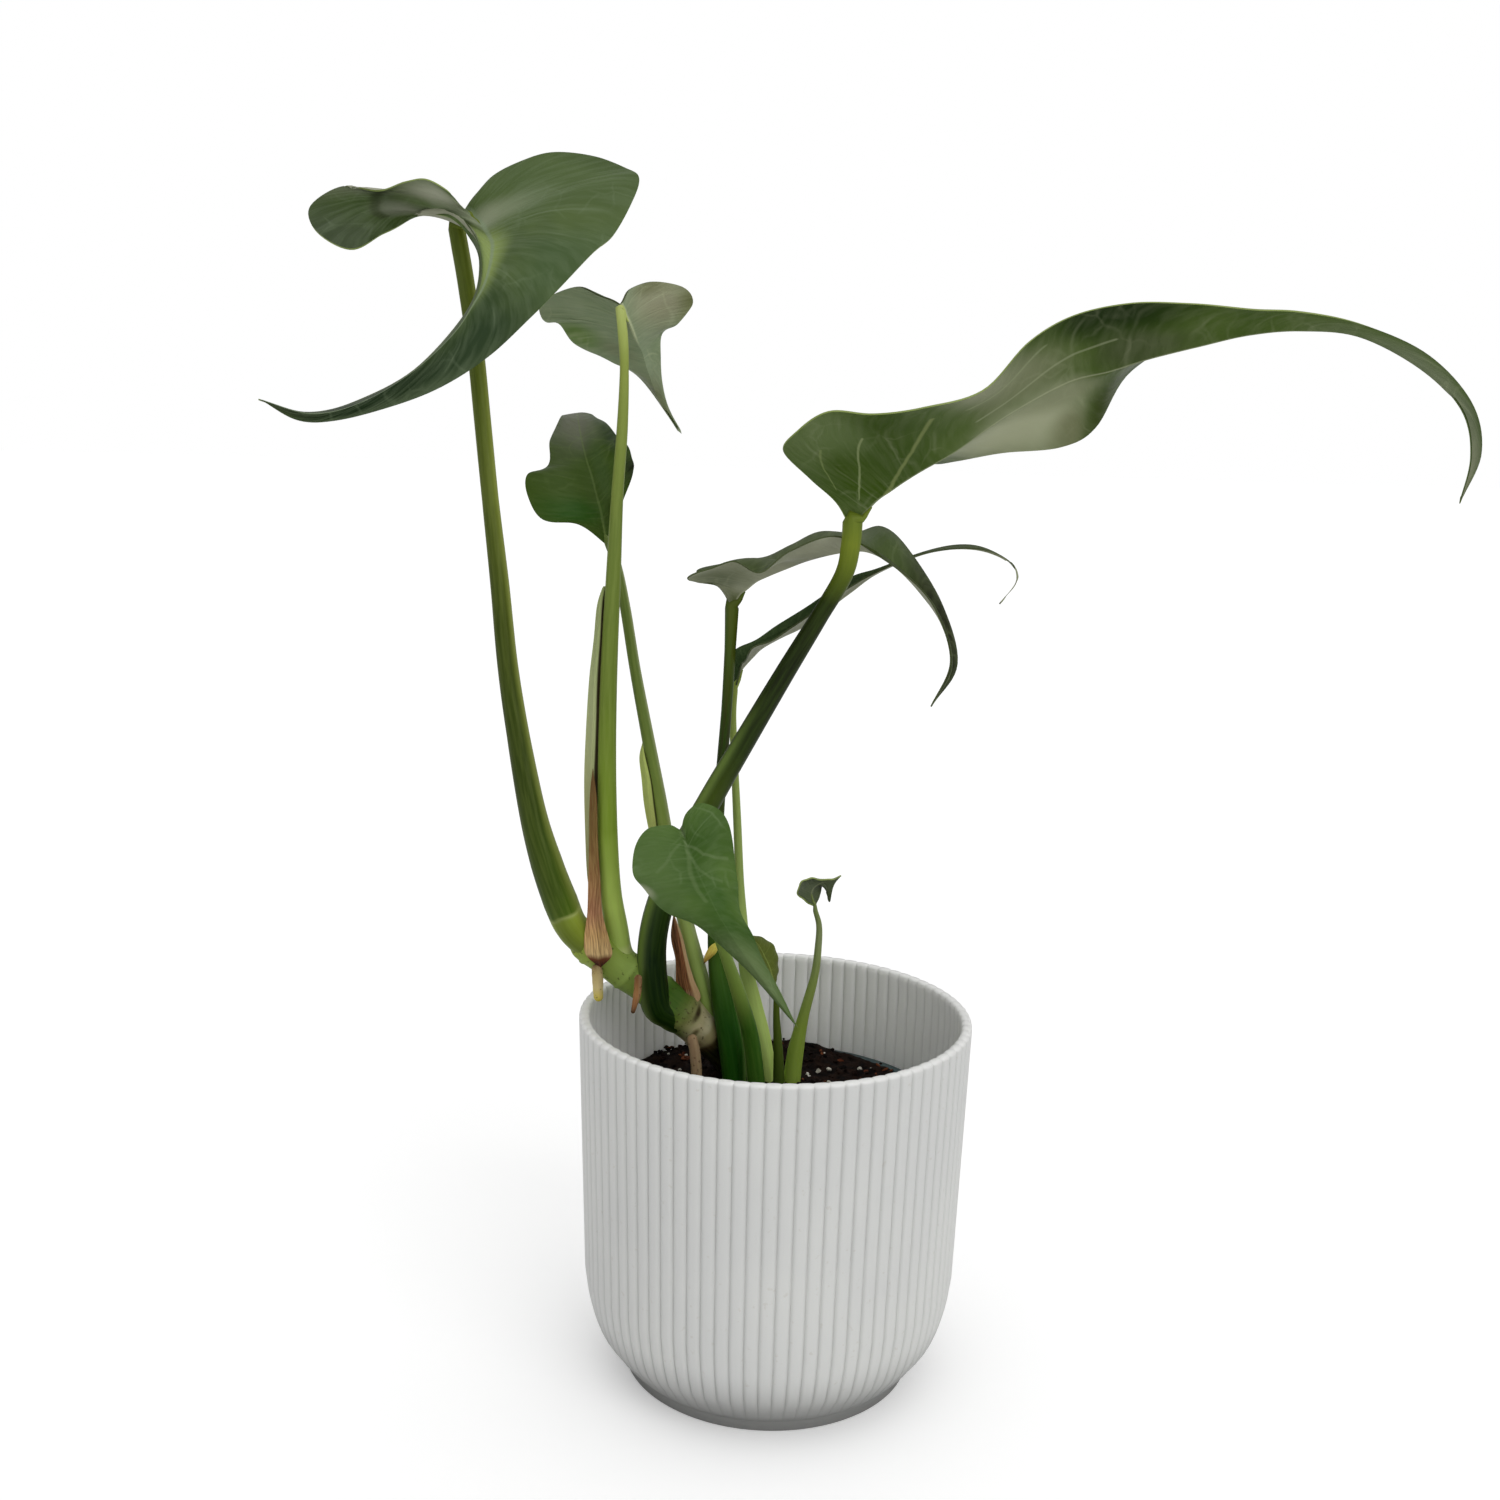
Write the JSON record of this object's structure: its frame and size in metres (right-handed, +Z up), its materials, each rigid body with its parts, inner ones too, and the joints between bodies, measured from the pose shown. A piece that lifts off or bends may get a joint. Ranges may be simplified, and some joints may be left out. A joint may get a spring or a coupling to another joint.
{
  "type": "potted burle marx flame monstera",
  "caption": "Young aroid with entire heart-shaped leaves on long stalks, each ending in a long curved drip tip, in a ribbed round cover pot.",
  "frame": {"origin": "middle of the cover pot's flat base, on the surface it stands on", "axes": "+Z up, the picture's viewer on the -Y side looking along +Y, +X to that viewer's right"},
  "size_m": [0.3808, 0.14, 0.4249],
  "materials": {
    "pot_ceramic": "satin",
    "nursery_plastic": "matte",
    "potting_mix": "matte",
    "stem": "satin",
    "stalk_green": "satin",
    "stalk_dark": "satin",
    "leaf": "satin",
    "sheath": "satin",
    "dry_leaf": "matte",
    "bract_yellow": "matte",
    "root": "matte"
  },
  "bodies": {
    "root": {"cover_pot": "pot_ceramic", "nursery_pot": "nursery_plastic", "soil": "potting_mix", "main_stem": "stem", "petiole_a": "stalk_green", "blade_a": "leaf", "petiole_b": "stalk_green", "blade_b": "leaf", "petiole_c": "stalk_green", "blade_c": "leaf", "petiole_d": "stalk_dark", "blade_d": "leaf", "petiole_e": "stalk_dark", "blade_e": "leaf", "petiole_f": "stalk_dark", "blade_f": "leaf", "petiole_g": "stalk_green", "blade_g": "leaf", "petiole_h": "stalk_green", "blade_h": "leaf", "petiole_i": "stalk_green", "blade_i": "leaf", "sheath_b": "sheath", "sheath_c": "sheath", "cataphyll_1": "dry_leaf", "cataphyll_2": "dry_leaf", "bract": "bract_yellow", "root_1": "root", "root_2": "root", "root_3": "root"}
  },
  "joints": []
}
